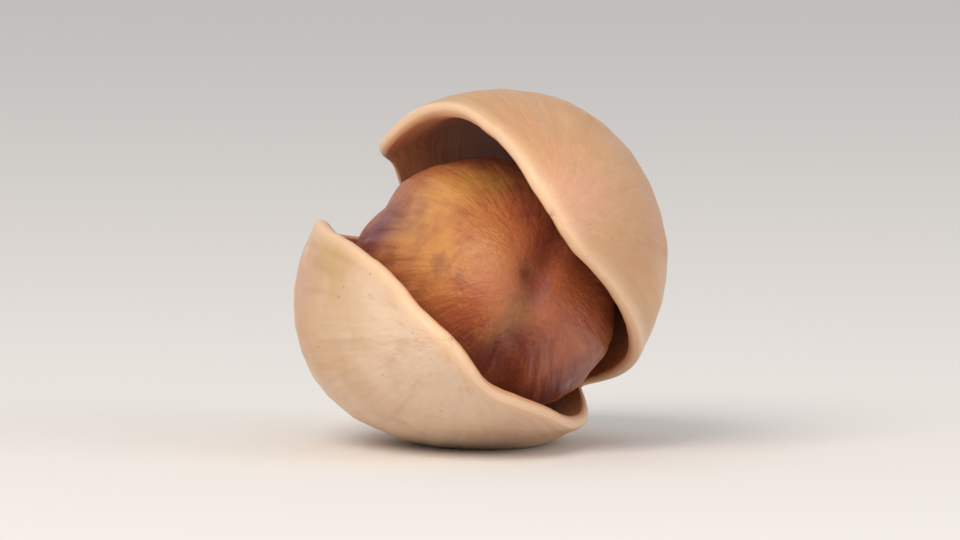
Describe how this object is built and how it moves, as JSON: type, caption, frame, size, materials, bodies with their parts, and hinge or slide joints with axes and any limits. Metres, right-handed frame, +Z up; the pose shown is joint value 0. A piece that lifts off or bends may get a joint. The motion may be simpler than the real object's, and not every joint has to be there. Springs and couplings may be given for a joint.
{
  "type": "pistachio in shell",
  "caption": "Pistachio nut lying on its side, its hard pale shell gaping from the tip down both seams, with the brown-skinned kernel loose inside.",
  "frame": {"origin": "middle of the bounding box's base, on the surface the nut rests on", "axes": "+Y runs from the open tip to the stem end, +Z is up, and +X is to the right of someone who looks into the open tip"},
  "size_m": [0.0144, 0.021, 0.0139],
  "materials": {
    "dry_shell": "dry, matte, finely streaked nutshell",
    "kernel_skin": "thin wrinkled skin with a low waxy sheen"
  },
  "bodies": {
    "root": {"shell": "dry_shell", "kernel": "kernel_skin"}
  },
  "joints": []
}
